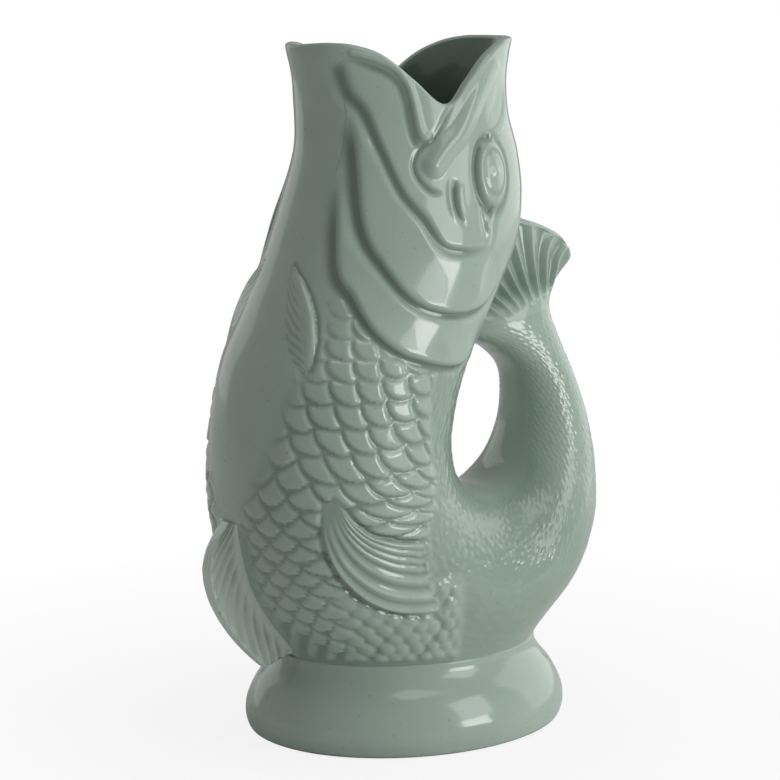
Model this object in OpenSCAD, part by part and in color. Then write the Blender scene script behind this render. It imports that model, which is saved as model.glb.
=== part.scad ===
// Gurgle jug: a slip-cast, glazed fish that stands on an oval foot and pours from its mouth.
// The hollow tail curls up behind as the handle and traps the air that makes the jug gurgle.
// Millimetres, +Z up, the fish faces -X, the origin is on the table at the middle of its length.

/* [Jug] */
// Overall height, from the table to the top of the back lip
jug_h = 290; // [260:1:320]
// Length in plan that the x shares are taken of, front fin to back of tail
plan_len = 188; // [170:1:208]
// Width in plan that the section shares are taken of
plan_w = 119; // [108:1:130]
// Thickness of the cast wall
wall = 4.5; // [3.5:0.25:5.5]
// Roundness of the body's sections, where 2 is an ellipse
section_power = 2.15; // [2:0.05:2.4]
// Height of the rounded edge of the mouth
lip_round = 1.5; // [0.8:0.1:2.2]
// Distance from the middle of the jug's length back to the centre of its foot
foot_back = 2.7; // [0:0.1:6]

/* [Foot] */
// Length of the oval foot at its widest
foot_len = 142; // [130:1:154]
// Width of the oval foot at its widest
foot_w = 119; // [108:1:130]
// Height of the foot, up to the waist where the body stands on it
foot_h = 36; // [32:1:40]
// Length of the waist, where the body stands on the foot
waist_len = 116; // [106:1:126]
// Width of the waist
waist_w = 93; // [84:1:102]
// Height up to which the body draws in towards the waist
gather_h = 70; // [62:1:80]
// Thickness of the foot's floor
foot_floor = 5; // [4:0.5:6]
// Depth of the hollow under the floor, inside the dry ring that the jug stands on
foot_recess = 3; // [2:0.5:4]
// Width of the dry ring
foot_ring = 6; // [5:0.5:8]

/* [Relief] */
// Height of the cheek plate's edge above the body
cheek_rise = 2.2; // [1.4:0.1:3]
// Height of the gill cover's edge above the body
gill_rise = 2.6; // [1.6:0.1:3.4]
// Height of the eye above the head
eye_rise = 2.8; // [1.8:0.1:3.6]
// Height of the lip bone at the corner of the mouth
maxilla_rise = 3.2; // [2:0.1:4]
// Thinnest edge of an applied plate
feather = 0.6; // [0.5:0.1:1]
// Height of the main scales above the belly
scale_rise = 0.9; // [0.5:0.1:1.3]

/* [Fins] */
// Reach of the front fin from the belly
front_fin_reach = 15; // [12:0.5:18]
// Thickness of the front fin along its outer edge
front_fin_edge = 6; // [4.5:0.5:7.5]
// Reach of the small fin under the tail
rear_fin_reach = 5; // [3.5:0.5:6.5]
// Thickness of the small fin under the tail
rear_fin_edge = 4; // [3:0.5:5]
// Height of the side fins above the belly
side_fin_rise = 3.6; // [2.4:0.2:4.6]
// Height of the small fins behind the gills
breast_fin_rise = 2.6; // [1.8:0.2:3.4]
// Depth of the grooves in the tail fin, as a share of its thickness
groove_share = 0.34; // [0.15:0.01:0.4]

/* [Hidden] */

glaze = [0.60, 0.68, 0.63];
glaze_pale = [0.66, 0.73, 0.68];
glaze_dark = [0.48, 0.57, 0.51];

// The fish is swept along a J from the mouth, down the belly, round the finger gap and up the tail.
// Each row is one section, cut by a plane that holds the y direction: its belly point and its back
// point as x and z, and its half width, as shares of plan_len, jug_h and plan_w.
station_shares = [
    [-0.290, 1.014,  0.258, 1.014, 0.277],
    [-0.279, 0.979,  0.242, 0.979, 0.277],
    [-0.261, 0.938,  0.231, 0.938, 0.286],
    [-0.253, 0.890,  0.234, 0.890, 0.303],
    [-0.255, 0.838,  0.255, 0.838, 0.324],
    [-0.282, 0.776,  0.263, 0.779, 0.353],
    [-0.322, 0.700,  0.247, 0.714, 0.382],
    [-0.372, 0.621,  0.194, 0.648, 0.408],
    [-0.426, 0.545,  0.136, 0.586, 0.424],
    [-0.447, 0.466,  0.085, 0.517, 0.437],
    [-0.455, 0.386,  0.059, 0.448, 0.445],
    [-0.444, 0.303,  0.064, 0.400, 0.450],
    [-0.404, 0.214,  0.090, 0.370, 0.445],
    [-0.319, 0.117,  0.130, 0.352, 0.429],
    [-0.106, 0.028,  0.175, 0.345, 0.412],
    [ 0.155, 0.028,  0.215, 0.350, 0.387],
    [ 0.325, 0.122,  0.248, 0.366, 0.345],
    [ 0.450, 0.248,  0.268, 0.390, 0.282],
    [ 0.479, 0.340,  0.282, 0.428, 0.227],
    [ 0.467, 0.426,  0.282, 0.470, 0.185],
    [ 0.434, 0.497,  0.266, 0.510, 0.155],
    [ 0.398, 0.555,  0.210, 0.542, 0.134],
    [ 0.376, 0.603,  0.120, 0.575, 0.118],
    [ 0.394, 0.650,  0.180, 0.636, 0.076],
    [ 0.417, 0.680,  0.225, 0.697, 0.046],
    [ 0.421, 0.696,  0.240, 0.745, 0.029]
];
// Height of the mouth's edge as shares of jug_h, every 15 degrees from the chin to the back lip
rim_shares = [0.985, 0.987, 0.988, 0.985, 0.972, 0.938, 0.904, 0.936, 0.969, 0.987, 0.994, 0.995, 0.995];
rim_step_angle = 15;

// Stations where the pieces meet, as shares of the step from one row of the table to the next
neck_share = 7;
tail_from_share = 17;
tail_to_share = 22;
fin_to_share = 25;
air_to_share = 21.4;

// Columns round a section, and the half angle of the narrow flat along the belly line
cols = 40;
tail_cols = 28;
fin_cols = 48;
foot_cols = 48;
flat_angle = 2.5;
jaw_cols = 10;
// Clearance under an applied piece, and the slit between two applied plates
seat = 0.05;
slit_share = 0.012;

function mix(a, b, t) = a + (b - a) * t;
function ease(t) = t * t * (3 - 2 * t);
function bend(a, b, c, d, t) =
    0.5 * (2 * b + (c - a) * t + (2 * a - 5 * b + 4 * c - d) * t * t + (3 * b - a - 3 * c + d) * t * t * t);
function row_at(m, k) =
    k < 0 ? 2 * m[0] - m[1] : k >= len(m) ? 2 * m[len(m) - 1] - m[len(m) - 2] : m[k];
function along(m, u) =
    let (k = max(0, min(floor(u), len(m) - 2)))
    bend(row_at(m, k - 1), row_at(m, k), row_at(m, k + 1), row_at(m, k + 2), u - k);
function signed_pow(c, p) = sign(c) * pow(abs(c), p);
function flat_list(m) = [for (r = m) each r];

// One section in real sizes: centre, direction to the belly, half depth and half width
function section(u, inset) =
    let (
        s = along(station_shares, u),
        belly_pt = [s[0] * plan_len + foot_back, s[1] * jug_h],
        back_pt = [s[2] * plan_len + foot_back, s[3] * jug_h],
        half = (belly_pt - back_pt) / 2
    )
    [(belly_pt + back_pt) / 2, half / norm(half), norm(half) - inset, s[4] * plan_w - inset];
function section_point(s, a) =
    let (
        c = signed_pow(cos(a), 2 / section_power) * s[2],
        w = signed_pow(sin(a), 2 / section_power) * s[3]
    )
    [s[0][0] + s[1][0] * c, -w, s[0][1] + s[1][1] * c];
// Near the foot the body draws in, until it meets the waist's oval
function gathered(p, inset) =
    p[2] >= gather_h ? p :
    let (
        r = norm([(p[0] - foot_back) / (waist_len / 2 - inset), p[1] / (waist_w / 2 - inset)]),
        k = pow(min(1, (gather_h - p[2]) / (gather_h - foot_h)), 2.5),
        f = mix(1, 1 / max(r, 0.2), k)
    )
    [foot_back + (p[0] - foot_back) * f, p[1] * f, p[2]];
// Angle from the belly line at which a section passes the plane of the waist
function waist_cos(s) = s[1][1] < 0 ? (foot_h - s[0][1]) / (s[1][1] * s[2]) : 2;
function start_angle(s) =
    waist_cos(s) >= 1 ? flat_angle : max(flat_angle, acos(signed_pow(waist_cos(s), section_power / 2)));
function is_cut(s) = start_angle(s) > flat_angle;
function column_angle(j) = flat_angle + (360 - 2 * flat_angle) * j / cols;
function ring(u, inset, n) =
    let (s = section(u, inset), a0 = start_angle(s))
    [for (j = [0:n])
        let (
            q = section_point(s, a0 + (360 - 2 * a0) * j / n),
            p = is_cut(s) && (j == 0 || j == n) ? [q[0], q[1], foot_h] : q
        )
        gathered(p, inset)];

// A point of the outer skin, its outward direction, and a point raised above it
function skin(u, a) = gathered(section_point(section(u, 0), a), 0);
function outward(u, a) =
    let (
        du = 0.02,
        da = 0.5,
        v = cross(skin(u + du, a) - skin(u - du, a), skin(u, a + da) - skin(u, a - da))
    )
    v / norm(v);
function raised(u, a, h) = skin(u, a) + outward(u, a) * h;

// The mouth's edge, as a station for each angle
function fold_angle(a) = a > 180 ? 360 - a : a;
function rim_z(a) = along(rim_shares, fold_angle(a) / rim_step_angle) * jug_h;
function rim_find(a, lo, hi, n) =
    n == 0 ? lo : skin(mix(lo, hi, 0.5), a)[2] > rim_z(a)
        ? rim_find(a, mix(lo, hi, 0.5), hi, n - 1) : rim_find(a, lo, mix(lo, hi, 0.5), n - 1);
function rim_at(a) = rim_find(a, 0, 4.5, 16);

// The back of the head at a given y and z, where the tail leans on it
function back_point(u, y) =
    let (s = section(u, 0), r = min(1, abs(y) / s[3]))
    section_point(s, 180 - asin(pow(r, section_power / 2)));
function back_find(y, z, lo, hi, n) =
    n == 0 ? back_point(lo, y)[0] : back_point(mix(lo, hi, 0.5), y)[2] > z
        ? back_find(y, z, mix(lo, hi, 0.5), hi, n - 1) : back_find(y, z, lo, mix(lo, hi, 0.5), n - 1);
function off_back(p) = [max(p[0], back_find(p[1], p[2], 3, 10, 14) + seat), p[1], p[2]];

// Faces between grids of points
function quad_faces(a, b, c, d) = [[a, b, c], [a, c, d]];
function slab_faces(m, n) =
    let (k = m * n)
    concat(
        [for (r = [0:m - 2], c = [0:n - 2])
            each quad_faces(r * n + c, r * n + c + 1, (r + 1) * n + c + 1, (r + 1) * n + c)],
        [for (r = [0:m - 2], c = [0:n - 2])
            each quad_faces(k + r * n + c, k + (r + 1) * n + c, k + (r + 1) * n + c + 1, k + r * n + c + 1)],
        [for (c = [0:n - 2])
            each quad_faces(c, k + c, k + c + 1, c + 1)],
        [for (c = [0:n - 2], e = (m - 1) * n)
            each quad_faces(e + c, e + c + 1, k + e + c + 1, k + e + c)],
        [for (r = [0:m - 2])
            each quad_faces(r * n, (r + 1) * n, k + (r + 1) * n, k + r * n)],
        [for (r = [0:m - 2], e = n - 1)
            each quad_faces(r * n + e, k + r * n + e, k + (r + 1) * n + e, (r + 1) * n + e)]
    );
// Whether a grid's rows and columns turn the way that faces out
function faces_out(g, dir) =
    let (i = floor(len(g) / 2), k = floor(len(g[0]) / 2))
    cross(g[i + 1][k] - g[i][k], g[i][k + 1] - g[i][k]) * dir > 0;
// A solid between an outer and an inner grid of the same size
module slab(outer, inner) {
    polyhedron(
        points = concat(flat_list(outer), flat_list(inner)),
        faces = slab_faces(len(outer), len(outer[0])),
        convexity = 8
    );
}
function tube_faces(m, n) =
    [for (r = [0:m - 2], c = [0:n - 1])
        each quad_faces(r * n + c, r * n + (c + 1) % n, (r + 1) * n + (c + 1) % n, (r + 1) * n + c)];
// A solid bounded by a chain of closed rings, with a hub point at each end
module chain(rings, hub_first, hub_last) {
    m = len(rings);
    n = len(rings[0]);
    polyhedron(
        points = concat(flat_list(rings), [hub_first, hub_last]),
        faces = concat(
            tube_faces(m, n),
            [for (c = [0:n - 1]) [m * n, (c + 1) % n, c]],
            [for (c = [0:n - 1]) [m * n + 1, (m - 1) * n + c, (m - 1) * n + (c + 1) % n]]
        ),
        convexity = 8
    );
}
function centre_of(r) = [for (p = r) 1] * r / len(r);

// An applied plate between two curves of the chart, each a list of [station, angle]
function on_chart(a, b, s, t) =
    mix(along(a, s * (len(a) - 1)), along(b, s * (len(b) - 1)), t);
function mirrored(p, side) = [p[0], p[1] * side, p[2]];

// Foot
// Outline of the foot from the table to the waist: height as a share of foot_h, and how far the
// oval has drawn in from its widest towards the waist, as a share of that step
foot_shares = [
    [0.000, 0.300],
    [0.030, 0.150],
    [0.090, 0.060],
    [0.180, 0.000],
    [0.260, 0.000],
    [0.360, 0.050],
    [0.500, 0.210],
    [0.640, 0.440],
    [0.760, 0.720],
    [0.880, 0.930],
    [1.000, 1.000]
];
function foot_ring_points(z, k, inset) =
    let (
        half_x = mix(foot_len, waist_len, k) / 2 - inset,
        half_y = mix(foot_w, waist_w, k) / 2 - inset
    )
    [for (j = [0:foot_cols - 1])
        let (a = 360 * j / foot_cols)
        [foot_back - half_x * cos(a), half_y * sin(a), z]];
function foot_outer() = [for (s = foot_shares) foot_ring_points(s[0] * foot_h, s[1], 0)];
function foot_inner() =
    [for (k = [len(foot_shares) - 1:-1:5])
        let (s = foot_shares[k])
        foot_ring_points(s[0] * foot_h, s[1], wall)];
module foot() {
    rings = concat(
        foot_outer(),
        foot_inner(),
        [foot_ring_points(foot_recess + foot_floor, foot_shares[4][1], wall + foot_recess)]
    );
    hollow = foot_ring_points(0, foot_shares[0][1], foot_ring);
    color(glaze_pale)
    difference() {
        chain(rings, [foot_back, 0, 0], [foot_back, 0, foot_recess + foot_floor]);
        translate([0, 0, -foot_recess])
        linear_extrude(2 * foot_recess)
        polygon([for (p = hollow) [p[0], p[1]]]);
    }
}

// Belly: the main chamber, open up to the neck, back to the tail and down into the foot
function belly_z(u) = let (s = section(u, 0)) s[0][1] + s[1][1] * s[2];
function waist_find(lo, hi, n) =
    n == 0 ? (lo + hi) / 2 : belly_z((lo + hi) / 2) > foot_h
        ? waist_find((lo + hi) / 2, hi, n - 1) : waist_find(lo, (lo + hi) / 2, n - 1);
waist_front = waist_find(11.5, 14, 16);
waist_back = waist_find(tail_from_share, 14.5, 16);
belly_rows = [
    for (u = [neck_share:0.5:11]) u,
    for (k = [1:4]) mix(11, waist_front, k / 5),
    for (k = [0:12]) mix(waist_front, waist_back, (1 - cos(15 * k)) / 2),
    for (k = [1:6]) mix(waist_back, tail_from_share, k / 6)
];
// Where the belly has main scales, clear of the plates and fins: the stations and the angles between
// which its grid points are lifted, every other one
scale_field_shares = [
    [ 8.4,  8.6,  27,  76],
    [ 8.9,  9.6,  10, 116],
    [ 9.9, 10.1,  10,  44],
    [ 9.9, 10.1,  80, 120],
    [10.4, 10.6,  16,  44],
    [10.4, 10.6,  90, 120],
    [10.9, 11.1,  16,  44],
    [10.9, 11.1,  99, 116],
    [11.2, 12.0,  16,  46],
    [11.2, 12.0, 107, 112],
    [12.0, 12.7,  16,  50]
];
function has_scales(u, a) =
    len([for (f = scale_field_shares) if (u > f[0] && u < f[1] && a > f[2] && a < f[3]) 1]) > 0;
function scale_lift(i, j) =
    (i + j) % 2 == 0 && has_scales(belly_rows[i], fold_angle(column_angle(j))) ? scale_rise : 0;
function scaled_ring(i) =
    let (p = ring(belly_rows[i], 0, cols))
    [for (j = [0:cols])
        let (h = scale_lift(i, j))
        h > 0 ? p[j] + outward(belly_rows[i], column_angle(j)) * h : p[j]];
function belly_faces(m, n, open) =
    let (q = 2 * m, e = n - 1)
    concat(
        [for (r = [0:q - 1], c = [0:n - 2])
            each quad_faces(r * n + c, r * n + c + 1, ((r + 1) % q) * n + c + 1, ((r + 1) % q) * n + c)],
        // the narrow strip along the belly line, left out where the body is open to the foot
        [for (r = [0:q - 1])
            let (
                s = (r + 1) % q,
                a = min(r, q - 1 - r),
                b = min(s, q - 1 - s),
                outside = r < m && s < m,
                inside = r >= m && s >= m
            )
            if (!(open[a] && open[b]) && !(outside && (open[a] || open[b])))
                each quad_faces(r * n + e, r * n, s * n, s * n + e)],
        // the flat rim of that opening
        [for (r = [0:m - 2])
            let (i0 = (q - 1 - r) * n, i1 = (q - 2 - r) * n, o0 = r * n, o1 = (r + 1) * n)
            each open[r] && open[r + 1]
                ? concat(quad_faces(o0, o1, i1, i0), quad_faces(i0 + e, i1 + e, o1 + e, o0 + e))
                : open[r + 1]
                    ? [[o0, o1, i1], [o0, i1, i1 + e], [o0, i1 + e, o0 + e], [o0 + e, i1 + e, o1 + e]]
                    : open[r]
                        ? [[o1, i0, o0], [o1, i0 + e, i0], [o1, o1 + e, i0 + e], [o1 + e, o0 + e, i0 + e]]
                        : []]
    );
module belly() {
    m = len(belly_rows);
    outer = [for (i = [0:m - 1]) scaled_ring(i)];
    inner = [for (u = belly_rows) ring(u, wall, cols)];
    open = [for (u = belly_rows) is_cut(section(u, wall))];
    color(glaze)
    polyhedron(
        points = concat(flat_list(outer), flat_list([for (r = [m - 1:-1:0]) inner[r]])),
        faces = belly_faces(m, cols + 1, open),
        convexity = 10
    );
}

// Head: the throat with the lower jaw in front, the skull with the upper jaw behind
head_shares = [0, 0.04, 0.12, 0.22, 0.32, 0.42, 0.52, 0.62, 0.72, 0.81, 0.9, 1];
function head_point(a, t, inset) =
    section_point(section(mix(rim_at(a), neck_share, t), inset), a);
function lip_point(a, inset_share) =
    head_point(a, 0, wall * inset_share) + [0, 0, lip_round];
function head_grid(angles, inset, inset_share) =
    concat(
        [[for (a = angles) lip_point(a, inset_share)]],
        [for (t = head_shares) [for (a = angles) head_point(a, t, inset)]]
    );
module jaw() {
    angles = concat(
        [for (j = [cols - jaw_cols:cols]) column_angle(j)],
        [for (j = [0:jaw_cols]) column_angle(j)]
    );
    color(glaze)
    slab(head_grid(angles, 0, 0.3), head_grid(angles, wall, 0.7));
}
module skull() {
    angles = [for (j = [jaw_cols:cols - jaw_cols]) column_angle(j)];
    color(glaze)
    slab(head_grid(angles, 0, 0.3), head_grid(angles, wall, 0.7));
}

// Tail: the hollow handle, closed at the top where it leans on the back of the head
function tail_ring(u, inset, n) =
    [for (p = ring(u, inset, n)) u > 20 && inset == 0 ? off_back(p) : p];
module tail() {
    air = [for (u = [air_to_share:-0.4:tail_from_share + 0.1]) ring(u, wall, tail_cols)];
    clay = [for (u = [tail_from_share:0.5:tail_to_share]) tail_ring(u, 0, tail_cols)];
    color(glaze)
    chain(
        concat(air, [ring(tail_from_share, wall, tail_cols)], clay),
        centre_of(air[0]),
        centre_of(clay[len(clay) - 1])
    );
}

// Tail fin: a short fan with grooves on both faces
fin_grooves = 6;
function grooved(p, s, u) =
    let (
        along_fin = (p[0] - s[0][0]) * s[1][0] + (p[2] - s[0][1]) * s[1][1],
        t = (1 + along_fin / s[2]) / 2,
        grow = ease(min(1, (u - tail_to_share) / (fin_to_share - tail_to_share) * 2))
    )
    [p[0], p[1] * (1 - groove_share * grow * pow(sin(180 * fin_grooves * t), 2)), p[2]];
function fin_ring(u) =
    let (s = section(u, 0))
    [for (p = ring(u, 0, fin_cols)) off_back(grooved(p, s, u))];
module tail_fin() {
    rings = [for (u = [tail_to_share:0.5:fin_to_share]) fin_ring(u)];
    color(glaze_dark)
    chain(
        rings,
        centre_of([for (p = tail_ring(tail_to_share, 0, tail_cols)) p]),
        centre_of(rings[len(rings) - 1])
    );
}

// Curves of the chart on the near side, as [station, angle]
fold_one_shares =
    [[2.15, 33], [2.75, 45], [3.8, 52], [4.75, 63], [5.35, 76], [5.85, 86], [6, 97], [5.95, 112]];
fold_two_shares =
    [[2.9, 34], [4.3, 38], [5.5, 47], [6.3, 64], [6.85, 80], [7.2, 98], [7.25, 118], [6.85, 134]];
fold_three_shares =
    [[4.4, 27], [6.1, 38], [6.7, 51], [7.3, 65], [7.85, 83], [8.25, 103], [8.4, 124], [8, 140]];
// A plate on the skin, whichever way its grid runs
module seated(top, base) {
    i = floor(len(top) / 2);
    k = floor(len(top[0]) / 2);
    if (faces_out(top, top[i][k] - base[i][k])) slab(top, base);
    else slab(base, top);
}
module plate(edge_in, edge_out, rise, side, n_along, n_across, crown) {
    function lift(s, t) =
        feather + (rise - feather) * sin(180 * min(1, max(0, s))) * (crown ? sin(180 * t) : pow(t, 1.6));
    function spot(s, t) = on_chart(edge_in, edge_out, s, t);
    top = [for (i = [0:n_along]) [for (k = [0:n_across])
        let (s = i / n_along, t = k / n_across, c = spot(s, t))
        mirrored(raised(c[0], c[1], seat + lift(s, t)), side)]];
    base = [for (i = [0:n_along]) [for (k = [0:n_across])
        let (c = spot(i / n_along, k / n_across))
        mirrored(raised(c[0], c[1], seat), side)]];
    seated(top, base);
}
function shifted(m, d) = [for (p = m) [p[0] + d, p[1]]];
module cheek(side) {
    color(glaze_pale)
    plate(fold_one_shares, shifted(fold_two_shares, -slit_share), cheek_rise, side, 18, 5, false);
}
module gill_cover(side) {
    color(glaze)
    plate(fold_two_shares, fold_three_shares, gill_rise, side, 20, 5, false);
}
maxilla_front_shares = [[3.5, 69], [3.8, 67], [4.2, 67], [4.55, 72], [4.85, 83]];
maxilla_back_shares = [[3.5, 73], [3.7, 79], [4, 83], [4.35, 86], [4.8, 89]];
module maxilla(side) {
    color(glaze_pale)
    plate(maxilla_front_shares, maxilla_back_shares, maxilla_rise, side, 10, 6, true);
}
eye_at_shares = [4.42, 111];
eye_half_shares = [0.76, 10.5];
function eye_edge(dir) =
    [for (k = [0:8])
        let (a = mix(-80, 80, k / 8))
        [
            eye_at_shares[0] + eye_half_shares[0] * sin(a),
            eye_at_shares[1] + dir * eye_half_shares[1] * cos(a)
        ]];
module eye(side) {
    color(glaze_dark)
    plate(eye_edge(-1), eye_edge(1), eye_rise, side, 12, 8, true);
}

// Fins on the sides
breast_front_shares = [[6.2, 12], [6.6, 16], [7, 20], [7.4, 25], [7.75, 33], [8, 40]];
breast_back_shares = [[6.15, 15], [6.5, 26], [6.85, 34], [7.2, 39], [7.6, 43], [7.95, 44]];
module breast_fin(side) {
    color(glaze_pale)
    plate(breast_front_shares, breast_back_shares, breast_fin_rise, side, 10, 5, true);
}
side_low_shares = [[10.1, 58], [10.9, 54], [11.5, 56], [12.05, 61], [12.5, 68], [12.95, 77], [13.35, 86]];
side_high_shares =
    [[10.05, 61], [10.45, 65], [10.85, 70], [11.15, 76], [11.4, 83], [11.65, 90], [11.9, 97]];
side_ridges = 4;
module side_fin(side) {
    function lift(s, t) =
        feather + side_fin_rise * pow(min(1, s * 1.4), 0.7)
            * (0.45 + 0.55 * (1 - t)) * (0.72 + 0.28 * cos(360 * side_ridges * t));
    function spot(s, t) = on_chart(side_low_shares, side_high_shares, s, t);
    top = [for (i = [0:12]) [for (k = [0:16])
        let (s = i / 12, t = k / 16, c = spot(s, t))
        mirrored(raised(c[0], c[1], seat + lift(s, t)), side)]];
    base = [for (i = [0:12]) [for (k = [0:16])
        let (c = spot(i / 12, k / 16))
        mirrored(raised(c[0], c[1], seat), side)]];
    color(glaze_pale)
    seated(top, base);
}

// Fins on the belly line: one row of points across the fin at each station
fin_across_shares =
    [[-1, 0], [-0.8, 0.3], [-0.52, 0.7], [-0.42, 1], [0, 1.04], [0.42, 1], [0.52, 0.7], [0.8, 0.3], [1, 0]];
module keel(from, to, reach_shares, reach, half_edge, n) {
    function half_angle(u) = asin(min(1, 2.2 * half_edge / section(u, 0)[3]));
    function reach_at(s) = max(feather, reach * along(reach_shares, s * (len(reach_shares) - 1)));
    outer = [for (i = [0:n]) let (s = i / n, u = mix(from, to, s)) [for (k = fin_across_shares)
        raised(u, half_angle(u) * k[0], seat + feather * 0.5 + reach_at(s) * k[1])]];
    inner = [for (i = [0:n]) let (s = i / n, u = mix(from, to, s)) [for (k = fin_across_shares)
        raised(u, half_angle(u) * k[0], seat)]];
    slab(outer, inner);
}
front_reach_shares = [0.08, 0.6, 0.9, 1, 1, 0.98, 0.92, 0.82];
module front_fin() {
    color(glaze_dark)
    keel(10.7, 12.85, front_reach_shares, front_fin_reach, front_fin_edge / 2, 14);
}
rear_reach_shares = [0.1, 0.7, 0.95, 1, 0.9, 0.7, 0.3];
module rear_fin() {
    color(glaze_dark)
    keel(mix(waist_back, tail_from_share, 0.18), mix(waist_back, tail_from_share, 0.86), rear_reach_shares,
        rear_fin_reach, rear_fin_edge / 2, 8);
}

module cheek_left() cheek(1);
module cheek_right() cheek(-1);
module gill_cover_left() gill_cover(1);
module gill_cover_right() gill_cover(-1);
module maxilla_left() maxilla(1);
module maxilla_right() maxilla(-1);
module eye_left() eye(1);
module eye_right() eye(-1);
module breast_fin_left() breast_fin(1);
module breast_fin_right() breast_fin(-1);
module side_fin_left() side_fin(1);
module side_fin_right() side_fin(-1);

foot();
belly();
jaw();
skull();
tail();
tail_fin();
cheek_left();
cheek_right();
gill_cover_left();
gill_cover_right();
maxilla_left();
maxilla_right();
eye_left();
eye_right();
front_fin();
rear_fin();
breast_fin_left();
breast_fin_right();
side_fin_left();
side_fin_right();
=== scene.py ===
"""Gurgle jug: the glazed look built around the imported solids.

Lengths are millimetres until a mesh is made. The fish faces -X, +Z is up and the near side is -Y.
A place on its skin is (station, angle): how far along the body from the mouth, and degrees round
it from the belly line, 90 at the side and 180 along the back. Both sides carry the same relief.
"""

import math

import bpy
import numpy as np
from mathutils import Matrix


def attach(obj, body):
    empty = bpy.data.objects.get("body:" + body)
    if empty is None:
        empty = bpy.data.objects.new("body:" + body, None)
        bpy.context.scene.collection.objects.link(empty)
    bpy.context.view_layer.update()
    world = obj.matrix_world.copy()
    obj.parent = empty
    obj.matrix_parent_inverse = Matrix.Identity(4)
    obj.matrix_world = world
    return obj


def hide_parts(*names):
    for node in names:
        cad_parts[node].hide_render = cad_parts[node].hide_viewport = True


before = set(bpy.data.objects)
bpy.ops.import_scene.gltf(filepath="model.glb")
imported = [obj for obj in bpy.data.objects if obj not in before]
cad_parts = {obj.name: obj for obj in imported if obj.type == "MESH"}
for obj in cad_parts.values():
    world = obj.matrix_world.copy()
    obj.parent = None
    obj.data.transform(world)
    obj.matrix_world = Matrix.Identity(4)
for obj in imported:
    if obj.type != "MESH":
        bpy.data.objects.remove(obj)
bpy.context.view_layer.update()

# The jug's main sizes, as the solids have them. POWER is that of the sections' rounded ovals, and
# FOOT_BACK is the foot's middle along X. NECK to AIR_TO are stations, and jaw and skull meet at JAW_ANGLE
MM = 0.001
JUG_H, PLAN_LEN, PLAN_W = 290.0, 188.0, 119.0
WALL, LIP_ROUND, POWER, FOOT_BACK = 4.5, 1.5, 2.15, 2.7
FOOT_LEN, FOOT_W, FOOT_H = 142.0, 119.0, 36.0
WAIST_LEN, WAIST_W, GATHER_H = 116.0, 93.0, 70.0
FOOT_FLOOR, FOOT_RECESS, FOOT_RING = 5.0, 3.0, 6.0
NECK, TAIL_FROM, TAIL_TO, FIN_TO, AIR_TO = 7.0, 17.0, 22.0, 25.0, 21.4
JAW_ANGLE = 91.25

# One row per station: belly point, back point, half width, as shares of length, height and width
STATIONS = np.array([
    [-0.290, 1.014, 0.258, 1.014, 0.277], [-0.279, 0.979, 0.242, 0.979, 0.277],
    [-0.261, 0.938, 0.231, 0.938, 0.286], [-0.253, 0.890, 0.234, 0.890, 0.303],
    [-0.255, 0.838, 0.255, 0.838, 0.324], [-0.282, 0.776, 0.263, 0.779, 0.353],
    [-0.322, 0.700, 0.247, 0.714, 0.382], [-0.372, 0.621, 0.194, 0.648, 0.408],
    [-0.426, 0.545, 0.136, 0.586, 0.424], [-0.447, 0.466, 0.085, 0.517, 0.437],
    [-0.455, 0.386, 0.059, 0.448, 0.445], [-0.444, 0.303, 0.064, 0.400, 0.450],
    [-0.404, 0.214, 0.090, 0.370, 0.445], [-0.319, 0.117, 0.130, 0.352, 0.429],
    [-0.106, 0.028, 0.175, 0.345, 0.412], [0.155, 0.028, 0.215, 0.350, 0.387],
    [0.325, 0.122, 0.248, 0.366, 0.345], [0.450, 0.248, 0.268, 0.390, 0.282],
    [0.479, 0.340, 0.282, 0.428, 0.227], [0.467, 0.426, 0.282, 0.470, 0.185],
    [0.434, 0.497, 0.266, 0.510, 0.155], [0.398, 0.555, 0.210, 0.542, 0.134],
    [0.376, 0.603, 0.120, 0.575, 0.118], [0.394, 0.650, 0.180, 0.636, 0.076],
    [0.417, 0.680, 0.225, 0.697, 0.046], [0.421, 0.696, 0.240, 0.745, 0.029]])
# Height of the mouth's edge at every 15 degrees round it, as shares of the height
RIM = np.array([0.985, 0.987, 0.988, 0.985, 0.972, 0.938, 0.904, 0.936, 0.969, 0.987, 0.994,
                0.995, 0.995])
# The foot's outline: share of its height, and share of the way in from its oval to the waist's
FOOT_PROFILE = np.array([[0, 0.3], [0.03, 0.15], [0.09, 0.06], [0.18, 0], [0.26, 0], [0.36, 0.05],
                         [0.5, 0.21], [0.64, 0.44], [0.76, 0.72], [0.88, 0.93], [1, 1]])


def mix(a, b, t):
    return a + (b - a) * t


def smooth(x, low, high):
    t = np.clip((x - low) / (high - low), 0, 1)
    return t * t * (3 - 2 * t)


def hump(x, width):
    return np.exp(-(x / width) ** 2)


def unit(v):
    return v / np.maximum(np.linalg.norm(v, axis=-1, keepdims=True), 1e-9)


def along(rows, u):
    """A smooth curve through the rows of a table, one row for each whole number."""
    rows = np.asarray(rows, float)
    ends = np.concatenate([[2 * rows[0] - rows[1]], rows, [2 * rows[-1] - rows[-2]]])
    u = np.asarray(u, float)
    k = np.clip(np.floor(u).astype(int), 0, len(rows) - 2)
    t = u - k
    if rows.ndim > 1:
        t = t[..., None]
    a, b, c, d = ends[k], ends[k + 1], ends[k + 2], ends[k + 3]
    return 0.5 * (2 * b + (c - a) * t + (2 * a - 5 * b + 4 * c - d) * t * t
                  + (3 * b - a - 3 * c + d) * t ** 3)


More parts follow.
